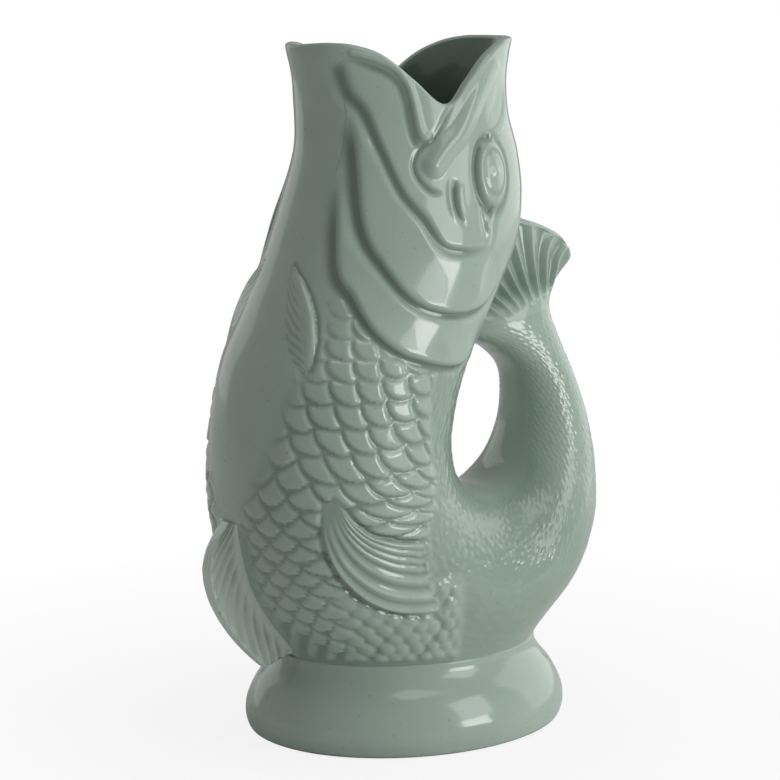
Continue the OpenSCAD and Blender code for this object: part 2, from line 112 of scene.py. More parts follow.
def section(u, inset=0.0):
    """Centre, direction to the belly, half depth and half width of the section at a station."""
    s = along(STATIONS, u)
    belly = np.stack([s[..., 0] * PLAN_LEN + FOOT_BACK, s[..., 1] * JUG_H], -1)
    back = np.stack([s[..., 2] * PLAN_LEN + FOOT_BACK, s[..., 3] * JUG_H], -1)
    half = (belly - back) / 2
    depth = np.linalg.norm(half, axis=-1)
    return (belly + back) / 2, half / depth[..., None], depth - inset, s[..., 4] * PLAN_W - inset


def signed_pow(c, p):
    return np.sign(c) * np.abs(c) ** p


def section_point(s, a):
    mid, way, depth, width = s
    a = np.radians(a)
    c = signed_pow(np.cos(a), 2 / POWER) * depth
    w = signed_pow(np.sin(a), 2 / POWER) * width
    return np.stack([mid[..., 0] + way[..., 0] * c, -w, mid[..., 1] + way[..., 1] * c], -1)


def gathered(p, inset=0.0):
    """Near the foot the body draws in, until it meets the waist's oval."""
    x, y, z = p[..., 0] - FOOT_BACK, p[..., 1], p[..., 2]
    r = np.hypot(x / (WAIST_LEN / 2 - inset), y / (WAIST_W / 2 - inset))
    k = np.clip((GATHER_H - z) / (GATHER_H - FOOT_H), 0, 1) ** 2.5
    f = 1 + k * (1 / np.maximum(r, 0.2) - 1)
    return np.stack([FOOT_BACK + x * f, y * f, z], -1)


def skin(u, a, inset=0.0):
    return gathered(section_point(section(u, inset), a), inset)


def outward(u, a):
    du, da = 0.02, 0.5
    return unit(np.cross(skin(u + du, a) - skin(u - du, a), skin(u, a + da) - skin(u, a - da)))


def start_angle(u, inset=0.0):
    """Half the angle that the opening into the foot takes from a section, 0 where it has none."""
    mid, way, depth, _ = section(u, inset)
    cut = np.where(way[..., 1] < 0, (FOOT_H - mid[..., 1]) / np.minimum(way[..., 1] * depth, -1e-6), 2)
    return np.degrees(np.arccos(np.clip(signed_pow(np.minimum(cut, 1), POWER / 2), -1, 1)))


def fold_angle(a):
    a = np.mod(a, 360)
    return np.where(a > 180, 360 - a, a)


def rim_at(a):
    """The station at which the mouth's edge crosses each angle."""
    z = along(RIM, fold_angle(a) / 15) * JUG_H
    # The edge dips no further than this station
    low, high = np.zeros_like(z), np.full_like(z, 4.5)
    for _ in range(20):
        mid = (low + high) / 2
        above = skin(mid, a)[..., 2] > z
        low, high = np.where(above, mid, low), np.where(above, high, mid)
    return low


def off_back(p):
    """The tail leans on the back of the head and never enters it."""
    y, z = p[..., 1], p[..., 2]
    # The back of the head lies between these stations
    low, high = np.full_like(y, 3.0), np.full_like(y, 10.0)

    def back_point(u):
        s = section(u)
        r = np.minimum(1, np.abs(y) / s[3])
        return section_point(s, 180 - np.degrees(np.arcsin(r ** (POWER / 2))))

    for _ in range(16):
        mid = (low + high) / 2
        above = back_point(mid)[..., 2] > z
        low, high = np.where(above, mid, low), np.where(above, high, mid)
    return np.stack([np.maximum(p[..., 0], back_point(low)[..., 0] + 0.05), y, z], -1)


# How far down the side each station lies
ARC_STEP = 0.05
ARC_U = np.linspace(0, FIN_TO, round(FIN_TO / ARC_STEP) + 1)
ARC_MM = np.concatenate([[0], np.cumsum(np.linalg.norm(
    np.diff(skin(ARC_U, np.full_like(ARC_U, 90.0)), axis=0), axis=1))])


class Line:
    """A curve on the near side, given as chart places. Distances to it are found within its reach."""

    def __init__(self, *places, n=110, reach=16.0):
        places = np.array(places, float)
        self.reach = reach
        self.chart = along(places, np.linspace(0, len(places) - 1, n))
        self.space = skin(self.chart[:, 0], self.chart[:, 1])


class Region:
    """A patch of the chart between two lines that run the same way."""

    def __init__(self, upper, lower):
        self.upper, self.lower, self.reach = upper, lower, max(upper.reach, lower.reach)
        self.chart = np.concatenate([upper.chart, lower.chart[::-1]])
        self.space = skin(self.chart[:, 0], self.chart[:, 1])

    def spot(self, s, t):
        n = len(self.upper.chart) - 1
        return mix(along(self.upper.chart, s * n), along(self.lower.chart, s * n), t[..., None])


class Places:
    """Many places at once, with what is measured from them."""

    def __init__(self, u, a):
        self.u, self.a = u.ravel(), fold_angle(a).ravel()
        p = skin(u, a).reshape(-1, 3)
        self.p = np.stack([p[:, 0], -np.abs(p[:, 1]), p[:, 2]], 1)
        self.z = self.p[:, 2]
        self.arc = np.interp(self.u, ARC_U, ARC_MM)
        self.kept = {}

    def near(self, curve):
        """Distance to a curve in space, and the share of its length where it is nearest. Which side
        of the curve each place is on is kept for past()."""
        key = id(curve)
        if key in self.kept:
            return self.kept[key]
        reach = curve.reach
        d, s = np.full(len(self.u), 99.0), np.zeros(len(self.u))
        chart_step = np.diff(curve.chart, axis=0)
        # Places out of reach take their side from the curve's station at their angle
        rising = curve.chart[curve.chart[:, 1].argsort()]
        beyond = np.sign(self.u - np.interp(self.a, rising[:, 1], rising[:, 0]))
        start, step = curve.space[:-1], np.diff(curve.space, axis=0)
        size = np.maximum((step ** 2).sum(1), 1e-9)
        box = ((self.p > curve.space.min(0) - reach) & (self.p < curve.space.max(0) + reach)).all(1)
        pick = np.flatnonzero(box)
        for part in np.array_split(pick, max(1, len(pick) // 3000)):
            away = self.p[part][:, None] - start
            t = np.clip((away * step).sum(2) / size, 0, 1)
            gap = ((away - t[..., None] * step) ** 2).sum(2)
            k = gap.argmin(1)
            rows = np.arange(len(part))
            d[part] = np.sqrt(gap[rows, k])
            s[part] = (k + t[rows, k]) / len(start)
            away = np.stack([self.u[part], self.a[part]], 1) - curve.chart[k]
            beyond[part] = np.sign(away[:, 0] * chart_step[k, 1] - away[:, 1] * chart_step[k, 0])
        self.kept[key] = d, s
        self.kept["beyond", key] = beyond
        return d, s

    def past(self, line):
        """Signed distance to a line that climbs round the body, positive beyond it."""
        d, s = self.near(line)
        return d * self.kept["beyond", id(line)], s

    def inside(self, region):
        """Which places lie in a region of the chart."""
        key = ("in", id(region))
        if key not in self.kept:
            found = np.zeros(len(self.u), bool)
            x, y = region.chart[:, 0], region.chart[:, 1]
            box = (self.u > x.min()) & (self.u < x.max()) & (self.a > y.min()) & (self.a < y.max())
            u, a = self.u[box], self.a[box]
            odd = np.zeros(len(u), bool)
            for x0, y0, x1, y1 in zip(x, y, np.roll(x, -1), np.roll(y, -1)):
                if y0 != y1:
                    odd ^= ((y0 > a) != (y1 > a)) & (u < (x1 - x0) * (a - y0) / (y1 - y0) + x0)
            found[box] = odd
            self.kept[key] = found
        return self.kept[key]

    def depth_in(self, region):
        """Distance inside a region's outline, 0 outside it."""
        d, _ = self.near(region)
        return np.where(self.inside(region), d, 0)


# Curves of the relief. Two runs of places serve two curves each
LIP_RUN = ([1.15, 36], [1.2, 42], [1.35, 49], [1.65, 60], [2, 66], [2.5, 68.5], [3.05, 69.2], [3.5, 70])
CHEEK_RUN = ([3.8, 52], [4.75, 63], [5.35, 76], [5.85, 86], [6, 97], [5.95, 112])
LIP_GROOVE = Line(*LIP_RUN, [3.8, 72])
PANEL_TOP = Line(*LIP_RUN, [3.9, 73.5], [4.35, 81], [4.8, 92], [5.2, 103], [5.4, 113], reach=45)
LIP_BEAD = Line([1.0, 44], [1.15, 54], [1.45, 65], [2, 71], [2.5, 72.8], [3.05, 73.6], [3.4, 74.4],
                [3.52, 76.5])
FOLD_ONE = Line([1.15, 35], [1.7, 34.8], [2.25, 37], [2.8, 45], *CHEEK_RUN, reach=45)
CHEEK_TOP = Line([2.15, 33], [2.75, 45], *CHEEK_RUN, reach=45)
FOLD_TWO = Line([2.9, 34], [4.3, 38], [5.5, 47], [6.3, 64], [6.85, 80], [7.2, 98], [7.25, 118],
                [6.85, 134], reach=45)
FOLD_THREE = Line([4.4, 27], [6.1, 38], [6.7, 51], [7.3, 65], [7.85, 83], [8.25, 103], [8.4, 124],
                  [8, 140], reach=45)
MAXILLA_SPINE = Line([1.5, 127], [2, 117.5], [2.5, 108.5], [3, 100.5], [3.5, 92], [3.9, 84],
                     [4.22, 78.5])
MAXILLA_FRONT = Line([3.5, 69], [3.8, 67], [4.2, 67], [4.55, 72], [4.85, 83])
MAXILLA_BACK = Line([3.5, 73], [3.7, 79], [4, 83], [4.35, 86], [4.8, 89])
CORNER_GROOVE = Line([2.35, 97], [2.75, 91], [3.2, 85.5], [3.55, 80], [3.8, 73], [4.15, 69],
                     [4.5, 71], [4.78, 77.5], [4.85, 84])
SLIT = Line([4.5, 90], [4.7, 88.8], [5.0, 89], [5.3, 91], [5.6, 95.5])
BROW = Line([1.6, 144], [2.15, 141], [2.6, 137.5], [3.05, 132], [3.35, 124], [3.55, 114])
RECESS = Line([1.9, 134], [2.4, 129], [2.8, 122], [3.1, 113])
TEAR_LEFT = Line([5.15, 105], [5.4, 106], [5.75, 109])
TEAR_RIGHT = Line([5.0, 114.5], [5.25, 111], [5.5, 109], [6.1, 109.5])
EYE_AT, EYE_HALF = (4.42, 111.0), (0.76, 10.5)
BREAST_FRONT = Line([6.2, 12], [6.6, 16], [7, 20], [7.4, 25], [7.75, 33], [8, 40])
BREAST_BACK = Line([6.15, 15], [6.5, 26], [6.85, 34], [7.2, 39], [7.6, 43], [7.95, 44])
SIDE_LOW = Line([10.33, 55.5], [10.9, 54], [11.5, 56], [12.05, 61], [12.5, 68], [12.95, 77],
                [13.35, 86], reach=45)
SIDE_HIGH = Line([10.27, 60.5], [10.5, 65], [10.85, 70], [11.15, 76], [11.4, 83], [11.65, 90],
                 [11.9, 97], reach=45)
CHEEK = Region(CHEEK_TOP, FOLD_TWO)
GILL = Region(FOLD_TWO, FOLD_THREE)
PANEL = Region(PANEL_TOP, FOLD_ONE)
MAXILLA = Region(MAXILLA_FRONT, MAXILLA_BACK)
BREAST = Region(BREAST_FRONT, BREAST_BACK)
SIDE = Region(SIDE_LOW, SIDE_HIGH)


def eye_line(way):
    turn = np.radians(np.linspace(-80, 80, 9))
    return Line(*zip(EYE_AT[0] + EYE_HALF[0] * np.sin(turn),
                     EYE_AT[1] + way * EYE_HALF[1] * np.cos(turn)))


EYE = Region(eye_line(-1), eye_line(1))
PLATES = (CHEEK, GILL, MAXILLA, EYE, BREAST, SIDE)

# Where the scales begin in front and turn fine behind, as station and angle
SCALES_FRONT = np.array([[6.0, 42], [7.6, 40], [8.4, 33], [8.95, 29], [9.3, 27], [9.65, 23], [10, 16],
                         [10.4, 9], [12.9, 6]])
SCALES_BACK = np.array([[8.0, 102], [8.65, 103], [9.5, 108], [10.65, 114], [11.2, 109], [11.6, 102],
                        [12.2, 97], [13.1, 90], [13.8, 80], [14.2, 70]])
# The lattice of the large scales. Its columns lean by so many degrees per station, and its rows
# dip in front and rise behind by so many stations, as station or angle and value. COLUMNS and ROWS
# are the angles and stations of its lines where it neither leans nor dips
COLUMN_LEAN = np.array([[6.5, 9], [8.5, 10], [9.2, 12.5], [9.7, 14], [10.25, 16], [10.7, 25], [11, 30],
                        [12, 28], [14, 26]])
ROW_DIP = np.array([[10, 1.0], [19, 0.72], [28, 0.48], [36, 0.27], [42, 0.1], [48, 0]])
ROW_RISE = np.array([[55, 0], [63, 0.06], [77, 0.1], [89, 0.14], [103, 0.18], [115, 0.2]])
COLUMNS = np.array([-46.7, -34.7, -22.7, -10.7, 1.2, 15.2, 30, 44.7, 57, 69.5, 81.5, 93, 104, 115, 126])
ROWS = np.array([6.6, 7, 7.38, 7.75, 8.12, 8.52, 8.95, 9.39, 9.9, 10.38, 10.83, 11.25, 11.66, 12.04,
                 12.4, 12.75, 13.1, 13.4, 13.7, 14])
# Where the tail fin's flutes start, as x and z, and how many degrees each one takes
FLUTES_FROM, FLUTE_TURN = (64, 154), 9.6
# The tail fin's outer edge flares by so much, and its top edge arches up and falls to the corner
FAN_FLARE, FAN_ARCH, FAN_FALL = 6.9, 1.5, 1.6
# Below this height rounded drops take the scales' place. So many go round the foot, in rows so far apart
DROPS_BELOW, DROPS_ROUND, DROP_ROW = 75, 50, 4.6
# An applied plate reaches so far into the body, its edge dips so far, and the body sinks below it
PLATE_ROOT, EDGE_DIP, UNDER_PLATE = 1.2, 0.12, 0.9


def ease(s, start=0.1, stop=0.14):
    """Fades in and out along a line, without a crease."""
    return smooth(s, 0, start) * smooth(1 - s, 0, stop)


def round_edge(d, radius):
    return np.sqrt(1 - (1 - np.clip(d / radius, 0, 1)) ** 2)


def sheet(at, region, upper, lower, rise, radius):
    """A plate that climbs from its upper line and ends in a rounded edge along the lower one."""
    d_up, _ = at.near(upper)
    d_low, s = at.near(lower)
    climb = (d_up / np.maximum(d_up + d_low, 0.01)) ** 1.5
    return at.inside(region) * rise * climb * round_edge(d_low, radius) * ease(s)


def fold(at, line, depth, width, shoulder):
    """The valley beyond a plate's edge, and the soft shoulder on its far side."""
    d, s = at.past(line)
    wide = width * mix(1.9, 1.0, smooth(s, 0.1, 0.55))
    valley = hump(d - 0.45 * wide, 1.15 * wide) * ease(s)
    rise = smooth(d, 0.5 * wide, 3.4 * wide) * np.exp(-np.maximum(d - 3.4 * wide, 0) / 9) * ease(s, 0.3)
    return shoulder * rise - depth * valley, valley


def bead(at, line, height, narrow, wide):
    """A rounded ridge that grows along a curve, from one radius to the other."""
    d, s = at.near(line)
    grow = mix(narrow / wide, 1.0, s)
    return height * grow * (1 - np.clip(d / mix(narrow, wide, s), 0, 1) ** 2) ** 1.2


def noise(x, y, seed):
    """Smooth wander between -1 and 1."""
    return (np.sin(x + 1.3 * seed) * np.cos(0.8 * y - seed) + np.sin(0.6 * x - 1.1 * y + 2.1 * seed)
            + 0.5 * np.sin(1.9 * x + 0.7 * y + seed)) / 2.5


def chance(i, j, seed):
    """A number from 0 to 1 that looks random, the same for the same cell."""
    return np.modf(np.abs(np.sin(12.9898 * i + 78.233 * j + 3.71 * seed)) * 4375.85453)[0]


def tiles(a, b, rim, root, corner):
    """Overlapping scales in a slanted lattice: height 0 to 1, with a free rounded tip each."""
    b = b - 0.1 * np.sin(np.pi * (a - np.floor(a)))
    a = a + 0.07 * np.sin(np.pi * (b - np.floor(b)))
    fa, fb = a - np.floor(a), b - np.floor(b)
    m = ((1 - fa) ** corner + fb ** corner) ** (1 / corner)
    free = round_edge(1 - m, rim)
    tucked = smooth(1 - fa, 0, root) * smooth(fb, 0, root)
    own = 0.84 + 0.3 * chance(np.floor(a), np.floor(b), 1)
    return free * tucked * (0.78 + 0.22 * smooth(m, 0.1, 0.9)) * own


def big_scales(at):
    """The large scales of the side."""
    lean = np.concatenate([[0], np.cumsum(np.interp(ARC_U[1:] - ARC_STEP / 2, *COLUMN_LEAN.T) * ARC_STEP)])
    lean -= np.interp(9.5, ARC_U, lean)
    u = at.u + 0.025 * noise(at.a / 17, at.arc / 23, 2)
    column = at.a - np.interp(u, ARC_U, lean) + 0.7 * noise(at.arc / 19, at.a / 21, 1)
    dip = np.interp(at.a, *ROW_DIP.T) * np.clip((u - 8.6) / 1.4, 0, 1)
    row = u - dip - np.interp(at.a, *ROW_RISE.T)
    a = np.interp(column, COLUMNS, np.arange(len(COLUMNS)))
    b = np.interp(row, ROWS, np.arange(len(ROWS)))
    return tiles(a, b, rim=0.15, root=0.24, corner=3.6)


def dabs(q, p, loose, wide, tall, seed):
    """Rounded dabs, one to a cell of a staggered grid, each moved off its place by chance."""
    height = np.zeros(len(q))
    for dj in (-1, 0, 1):
        j = np.floor(p) + dj
        shift = 0.5 * np.mod(j, 2)
        for di in (-1, 0, 1):
            i = np.floor(q - shift) + di
            x = q - (i + shift + 0.5 + loose * (chance(i, j, seed) - 0.5))
            y = p - (j + 0.5 + loose * (chance(i, j, seed + 9) - 0.5))
            size = 1 - 0.5 * loose * chance(i, j, seed + 5)
            r = (x / (wide * size)) ** 2 + ((y - 0.12 * size) / (tall * size)) ** 2 * (1 + 0.5 * (y < 0))
            height = np.maximum(height, size * np.clip(1 - r, 0, 1) ** 0.75)
    return height


def relief(at):
    """Height above the skin, and how much glaze has pooled, with painted shade added in the hollows."""
    t = np.zeros(len(at.u))
    pool = np.zeros(len(at.u))

    # Scales first: everything else lies over them. They start behind the gill and a bare front, fade
    # at the waist and on the side of the finger gap, and turn to drops low down and fine behind
    past_gill = smooth(at.past(FOLD_THREE)[0], 1.2, 4.2)
    front = np.interp(at.u, *SCALES_FRONT.T)
    back = np.interp(at.u, *SCALES_BACK.T)
    heading = np.degrees(np.arctan2(-at.p[:, 1], FOOT_BACK - at.p[:, 0]))
    low = smooth(DROPS_BELOW - at.z, 0, 6) * smooth(at.u, 11.3, 12.2) * (1 - smooth(at.u, 16.6, 17.2))
    low *= smooth(heading, 30, 42)
    fine = smooth(at.a, back - 4, back + 4) * smooth(at.u, 7.9, 8.5)
    fine = mix(fine, smooth(heading, 80, 90), low)
    shown = smooth(at.a, front - 4, front + 12)
    waist = smooth(at.z, FOOT_H + 0.5, FOOT_H + 4)
    gap_side = 1 - smooth(at.a, 146, 160) * (1 - 0.5 * smooth(at.u, 17, 18))
    on_tail, below_fin = smooth(at.u, 16.4, 17.6), 1 - smooth(at.u, 21.3, 22)
    drops = dabs(heading * DROPS_ROUND / 360, (GATHER_H - at.z) / DROP_ROW, 0.3, 0.56, 0.98, 3)
    streaks = dabs(at.a / 4.1 + at.arc / 40, at.arc / 4.4, 0.9, 0.36, 0.8, 1)
    rings = dabs(at.a / 8.6, at.arc / 3.1, 0.35, 0.48, 0.62, 2)
    faint = mix(1, 0.3, low) * mix(1, 0.5, smooth(at.a, 118, 138))
    scale = (1.15 * big_scales(at) * shown * (1 - fine) * (1 - low) + 1.35 * drops * low * (1 - fine)
             + 0.42 * streaks * fine * (1 - on_tail) * faint + 0.36 * rings * on_tail * below_fin)
    scale *= past_gill * gap_side * waist
    # The tail sinks by more than its scales rise, so it stays inside the solid's box
    t += scale - 0.42 * smooth(at.u, 14, 17.4) * below_fin
    # Between the scales the colour darkens, partly from pooled glaze and partly as painted shade in the
    # crevices
    between = 0.5 * (1 - np.clip(scale / 0.8, 0, 1)) * past_gill * gap_side * smooth(at.u, 7.9, 8.6)
    pool += between * np.maximum(shown * (1 - fine), 0.6 * fine) * mix(1, 0.3, on_tail)

    # The three shingled plates of the cheek
    t += sheet(at, PANEL, PANEL_TOP, FOLD_ONE, 1.4, 3.4)
    t += sheet(at, CHEEK, CHEEK_TOP, FOLD_TWO, 2.1, 3.4)
    t += sheet(at, GILL, FOLD_TWO, FOLD_THREE, 2.5, 3.6)
    for line, depth, width, shoulder in ((FOLD_ONE, 1.3, 1.3, 0.8), (FOLD_TWO, 1.35, 1.35, 0.8),
                                         (FOLD_THREE, 1.2, 1.3, 0.0)):
        h, valley = fold(at, line, depth, width, shoulder)
        t += h
        # The fold's valley darkens the colour, partly from pooled glaze and partly as painted shade
        pool += 0.8 * valley

    # Lip, upper jaw and the corner of the mouth
    d, s = at.near(LIP_GROOVE)
    valley = hump(d, 1.6) * smooth(s, 0.0, 0.35) * (1 - smooth(s, 0.93, 1.0))
    t -= 1.15 * valley
    # Painted shade and pooled glaze in the lip's groove
    pool += 0.7 * valley
    t += bead(at, LIP_BEAD, 1.6, 1.7, 3.3)
    d, s = at.near(CORNER_GROOVE)
    valley = hump(d, 1.2) * smooth(s, 0, 0.2) * (1 - smooth(s, 0.85, 1))
    t -= 1.3 * valley
    # Painted shade and pooled glaze in the corner groove
    pool += 0.8 * valley
    d, s = at.near(MAXILLA_SPINE)
    above = mix(0.9, 3.7, s ** 1.5) * (1 - np.clip(d / mix(4.6, 6.0, s), 0, 1) ** 2) ** 1.4
    above = np.maximum(above - 0.15 * valley - t, 0)
    t += above * above / (above + 0.4)
    t += bead(at, BROW, 1.0, 2.0, 3.0) * smooth(at.near(BROW)[1], 0, 0.5)
    d, s = at.near(RECESS)
    t -= 0.5 * hump(d, 2.6) * ease(s, 0.4, 0.4)
    d, s = at.near(SLIT)
    d = d * np.sign(at.a - np.interp(at.u, *SLIT.chart.T))
    valley = hump(d, 1.2) * ease(s, 0.3, 0.3)
    t += (0.9 * hump(d - 2.4, 1.4) + 0.45 * hump(d + 2.1, 1.1)) * ease(s, 0.4, 0.4) - 0.9 * valley
    # Painted shade and pooled glaze in the slit
    pool += 0.8 * valley

    # Eye and the drop below it
    e = np.hypot((at.u - EYE_AT[0]) / 0.8, (at.a - EYE_AT[1]) / 11.0)
    shaded_side = mix(0.5, 1.0, smooth(EYE_AT[1] - at.a, -4, 7))
    t += 1.7 * np.clip(1 - e * e, 0, 1) ** 0.7
    t += 0.15 * hump(e - 0.8, 0.12) - 0.26 * hump(e - 0.62, 0.09)
    t += 0.75 * hump(e, 0.2) - 1.25 * shaded_side * hump(e - 1.08, 0.15)
    # The outer groove is painted darker on the side towards the belly, away from the key light, as painted
    # shade; both grooves also hold some pooled glaze
    pool += 0.8 * shaded_side * hump(e - 1.08, 0.16) + 0.3 * hump(e - 0.62, 0.09)
    for line in (TEAR_LEFT, TEAR_RIGHT):
        d, s = at.near(line)
        t += (0.75 * hump(d, 1.2) - 0.35 * hump(d - 2.6, 1.2)) * ease(s, 0.35, 0.35)

    # Breast fin: a leaf with slanting ribs, which has no outline on its front side
    d_f, s_f = at.near(BREAST_FRONT)
    d_b, _ = at.near(BREAST_BACK)
    inside = at.inside(BREAST)
    x = d_f / np.maximum(d_f + d_b, 0.01)
    rib = 0.5 + 0.5 * np.cos(2 * np.pi * (8 * s_f - 4.0 * x))
    leaf = 2.6 * smooth(x, -0.05, 0.85) ** 0.8 * round_edge(d_b, 1.8)
    leaf = leaf * np.sin(np.pi * np.clip(s_f, 0, 1)) ** 0.8
    leaf = leaf * mix(0.66 + 0.22 * rib, 1.0, smooth(x, 0.5, 0.75))
    t = np.where(inside, leaf + 0.1 * t, t)
    # Round the fin's outline the skin dips and is painted darker, partly pooled glaze and partly painted
    # shade beside the fin
    near_fin = hump(at.near(BREAST)[0] - 0.4, 1.2) * ~inside * smooth(d_f - d_b, -1, 2)
    t -= 0.6 * near_fin
    pool += 0.5 * near_fin + np.where(inside, 0.35 * (1 - rib) * (1 - smooth(x, 0.4, 0.6)), 0)

    # Side fin: a fan of ribs from its root, with a shaded outline
    d_low, s_low = at.near(SIDE_LOW)
    d_high, s_high = at.near(SIDE_HIGH)
    inside = at.inside(SIDE)
    x = d_high / np.maximum(d_low + d_high, 0.01)
    s = mix(s_high, s_low, x)
    ridge = np.zeros(len(at.u))
    for mid, wide, tall in ((0.035, 0.045, 0.9), (0.14, 0.04, 0.8), (0.25, 0.04, 0.8),
                            (0.36, 0.045, 0.85), (0.52, 0.07, 1.0), (0.74, 0.08, 1.05),
                            (0.94, 0.075, 1.0)):
        ridge = np.maximum(ridge, tall * hump(x - mid, wide) ** 0.8)
    body = 0.6 + 2.5 * np.minimum(1, 1.4 * s) ** 0.7 * (0.4 + 0.6 * x)
    body *= smooth(s, -0.05, 0.2) * (1 - 0.35 * smooth(s, 0.6, 0.9)) * (1 - 0.9 * smooth(s, 0.9, 1.0))
    ridge = mix(0.55, ridge, smooth(s, 0.06, 0.34))
    edge = at.near(SIDE)[0]
    t = np.where(inside, body * (0.55 + 0.42 * ridge) * round_edge(edge, 1.6), t * smooth(edge, 0.2, 2.0))
    pool = np.where(inside, 0.75 * (1 - ridge) - 0.08, pool)
    shade = hump(edge - 1.3, 0.9) * ~inside * smooth(s, 0.05, 0.3) * (1 - smooth(s, 0.85, 0.97))
    t -= 0.7 * shade
    pool += 0.7 * shade
    return t * smooth(at.z, FOOT_H, FOOT_H + 2.5), np.clip(pool, -0.3, 1)


def patch(u, a):
    """Points, normals, and pooled glaze with painted shade, of a grid of places. The grid comes with one
    spare row and column on each side, which are left off again. Points under an applied plate are sunk
    below it."""
    at = Places(u, a)
    t, pool = relief(at)
    sunk = np.zeros(len(at.u))
    for region in PLATES:
        sunk = np.maximum(sunk, UNDER_PLATE * smooth(at.depth_in(region), 0.1, 1.3))
    base, out = skin(u, a), outward(u, a)
    full = base + out * t.reshape(u.shape)[..., None]
    normal = np.cross(np.gradient(full, axis=0), np.gradient(full, axis=1))
    level = np.linalg.norm(normal, axis=-1, keepdims=True) < 1e-4
    normal = np.where(level, out, unit(normal))
    normal *= np.sign((normal * out).sum(-1, keepdims=True))
    points = full - out * sunk.reshape(u.shape)[..., None]
    crop = (slice(1, -1), slice(1, -1))
    return points[crop], normal[crop], pool.reshape(u.shape)[crop]


class Shell:
    """A mesh put together from grids of points."""

    def __init__(self):
        self.points, self.normals, self.pool, self.faces, self.count = [], [], [], [], 0

    def add(self, points, normals=None, pool=None):
        shape = points.shape[:-1]
        n = int(np.prod(shape))
        self.points.append(points.reshape(-1, 3))
        self.normals.append(np.full((n, 3), np.nan) if normals is None else normals.reshape(-1, 3))
        self.pool.append(np.zeros(n) if pool is None else pool.reshape(-1))
        self.count += n
        return np.arange(self.count - n, self.count).reshape(shape)

    def quads(self, ids, flip=False):
        a, b, c, d = ids[:-1, :-1], ids[:-1, 1:], ids[1:, 1:], ids[1:, :-1]
        quads = np.stack([a, d, c, b] if flip else [a, b, c, d], -1)
        self.faces.extend(quads.reshape(-1, 4).tolist())

    def zip(self, a, b, flip=False):
        """Triangles between two lines of points with different counts."""
        i = j = 0
        while i < len(a) - 1 or j < len(b) - 1:
            if j == len(b) - 1 or (i < len(a) - 1 and (i + 1) * (len(b) - 1) <= (j + 1) * (len(a) - 1)):
                face = [a[i], a[i + 1], b[j]]
                i += 1
            else:
                face = [a[i], b[j + 1], b[j]]
                j += 1
            self.faces.append(face[::-1] if flip else face)

    def fan(self, hub, line, flip=False):
        for k in range(len(line) - 1):
            face = [hub, line[k], line[k + 1]]
            self.faces.append(face[::-1] if flip else face)

    def build(self, name, weld=True):
        """Makes the mesh. A point without a normal takes the mesh's own."""
        points = np.concatenate(self.points)
        normals = np.concatenate(self.normals)
        pool = np.concatenate(self.pool)
        if weld:
            key = np.round(points, 3)
            _, first, same = np.unique(key, axis=0, return_index=True, return_inverse=True)
            same = same.ravel()
            points, normals, pool = points[first], normals[first], pool[first]
        else:
            same = np.arange(len(points))
        faces = []
        for face in self.faces:
            ring = list(dict.fromkeys(int(same[k]) for k in face))
            if len(ring) > 2:
                faces.append(ring)
        used = np.unique(np.concatenate(faces))
        new = np.full(len(points), -1)
        new[used] = np.arange(len(used))
        faces = [[int(new[k]) for k in f] for f in faces]
        points, normals, pool = points[used], normals[used], pool[used]
        mesh = bpy.data.meshes.new(name)
        mesh.from_pydata((points * MM).tolist(), [], faces)
        mesh.validate()
        mesh.update()
        own = np.zeros(len(mesh.vertices) * 3, np.float32)
        mesh.vertex_normals.foreach_get("vector", own)
        own = own.reshape(-1, 3)
        normals = np.where(np.isnan(normals), own, normals)
        mesh.polygons.foreach_set("use_smooth", np.ones(len(mesh.polygons), bool))
        mesh.normals_split_custom_set_from_vertices(normals.tolist())
        layer = mesh.attributes.new("pool", "FLOAT", "POINT")
        layer.data.foreach_set("value", pool.astype(np.float32))
        piece = bpy.data.objects.new(name, mesh)
        bpy.context.scene.collection.objects.link(piece)
        return piece


def spread(low, high, count):
    """Even steps with one spare at each end."""
    step = (high - low) / count
    return np.linspace(low - step, high + step, count + 3)


def columns(count):
    """Angles round the body, close together on the sides and wider apart in front and behind."""
    a = np.linspace(0, 180, 721)
    gap = np.interp(a, [0, 8, 20, 125, 150, 180], [2.2, 1.6, 1.0, 1.0, 1.5, 2.4])
    place = np.concatenate([[0], np.cumsum(0.5 * (1 / gap[1:] + 1 / gap[:-1]))])
    half = np.interp(np.linspace(0, place[-1], int(round(count)) + 1), place, a)
    return np.concatenate([half, 360 - half[-2::-1]])


DENSE = 1.0
AROUND = columns(168 * DENSE)


def spare_angles(a, closed):
    if closed:
        return np.concatenate([[a[0] - (a[-1] - a[-2])], a, [a[-1] + (a[1] - a[0])]])
    return np.concatenate([[2 * a[0] - a[1]], a, [2 * a[-1] - a[-2]]])


